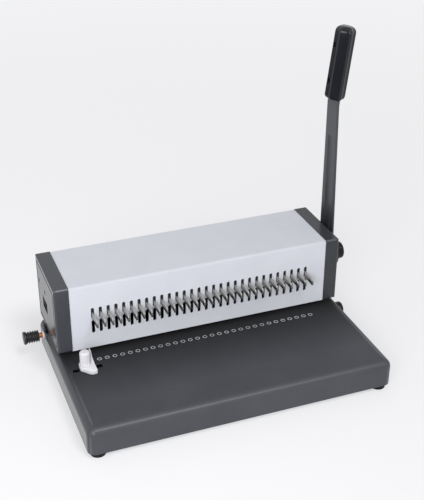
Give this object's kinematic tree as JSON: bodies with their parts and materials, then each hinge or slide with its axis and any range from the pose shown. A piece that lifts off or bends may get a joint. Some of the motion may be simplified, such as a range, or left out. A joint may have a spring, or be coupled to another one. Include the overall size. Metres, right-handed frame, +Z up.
{
  "type": "heavy duty hole punch",
  "caption": "Desk lever punch: a wide table under a slotted housing, a tall side lever that drives a row of punches and a comb of fingers, an edge guide, a depth knob and a chip drawer.",
  "frame": {"origin": "middle of the overall box on the floor under the feet", "axes": "+X along the row of holes to the lever's side, +Y from the table to the back, +Z up"},
  "size_m": [0.4226, 0.243, 0.3864],
  "materials": {
    "dark_paint": "satin dark grey powder coat",
    "dark_plastic": "fine-grained dark grey moulding",
    "silver_paint": "satin silver-grey paint",
    "black_gloss": "glossy black moulding",
    "black_plastic": "satin black moulding",
    "black_steel": "blackened steel",
    "white_plastic": "satin white moulding",
    "rubber": "matt black rubber",
    "bright_steel": "nickel-plated steel",
    "copper": "copper-coloured plating",
    "bronze": "sintered bronze",
    "zinc_steel": "zinc-plated sheet",
    "steel": "ground steel"
  },
  "bodies": {
    "machine": {"base_shell": "dark_paint", "bottom_plate": "zinc_steel", "rubber_feet": "rubber", "foot_screws": "steel", "side_frames": "black_steel", "frame_screws": "steel", "die_plate": "steel", "guide_plate": "steel", "throat_spacers": "black_steel", "cassette_screws": "steel", "guide_screws": "steel", "guide_posts": "steel", "return_springs": "steel", "shaft_bushes": "bronze", "comb_guides": "zinc_steel", "front_cover": "silver_paint", "back_cover": "dark_plastic", "back_screws": "steel", "left_end_cap": "dark_plastic", "right_end_cap": "dark_plastic", "cap_screws": "steel", "depth_bush": "white_plastic", "depth_brackets": "zinc_steel", "tray_runners": "zinc_steel"},
    "lever": {"lever_arm": "dark_paint", "hub_spacer": "steel", "hub_cap": "black_plastic", "grip_inner": "black_gloss", "grip_outer": "black_gloss", "grip_screws": "steel", "drive_shaft": "steel", "shaft_collars": "steel", "ram_pinions": "steel", "lift_pinions": "steel"},
    "ram": {"ram_bar": "steel", "punch_pins": "bright_steel", "pin_retainer": "steel", "retainer_screws": "steel", "ram_racks": "steel"},
    "comb": {"finger_bar": "black_steel", "comb_fingers": "bright_steel", "lift_racks": "steel"},
    "side_guide": {"edge_guide": "white_plastic", "guide_nut": "steel"},
    "guide_clamp": {"guide_knob": "white_plastic"},
    "depth_dial": {"depth_shaft": "copper", "depth_knob": "black_plastic", "depth_pinions": "steel"},
    "paper_stop": {"depth_stop": "steel", "depth_racks": "steel"},
    "chip_drawer": {"chip_tray": "dark_paint", "tray_knob": "black_plastic"}
  },
  "joints": [
    {"name": "lever_swing", "type": "hinge", "parent": "machine", "child": "lever", "pos_m": [0, 0.07, 0.0865], "axis": [1, 0, 0], "range_deg": [0, 50]},
    {"name": "ram_stroke", "type": "slide", "parent": "machine", "child": "ram", "axis": [0, 0, -1], "range_m": [0, 0.0092], "stiffness_N_per_m": 3000, "springref_m": -0.012, "deforming": ["return_springs"]},
    {"name": "comb_lift", "type": "slide", "parent": "machine", "child": "comb", "axis": [0, 0, 1], "range_m": [0, 0.00615]},
    {"name": "guide_slide", "type": "slide", "parent": "machine", "child": "side_guide", "axis": [1, 0, 0], "range_m": [-0.008, 0.014]},
    {"name": "guide_turn", "type": "hinge", "parent": "side_guide", "child": "guide_clamp", "pos_m": [-0.158, -0.008, 0.056], "axis": [0, 0, 1], "range_deg": [0, 90]},
    {"name": "stop_slide", "type": "slide", "parent": "machine", "child": "paper_stop", "axis": [0, 1, 0], "range_m": [-0.00244, 0.00244]},
    {"name": "depth_turn", "type": "hinge", "parent": "machine", "child": "depth_dial", "pos_m": [0, 0.094, 0.03], "axis": [1, 0, 0], "range_deg": [-35, 35]},
    {"name": "drawer_slide", "type": "slide", "parent": "machine", "child": "chip_drawer", "axis": [1, 0, 0], "range_m": [0, 0.28]}
  ],
  "couplings": [
    {"joint": "ram_stroke", "follows": "lever_swing", "m_per_rad": 0.0105},
    {"joint": "comb_lift", "follows": "lever_swing", "m_per_rad": 0.007},
    {"joint": "depth_turn", "follows": "stop_slide", "rad_per_m": -250}
  ]
}
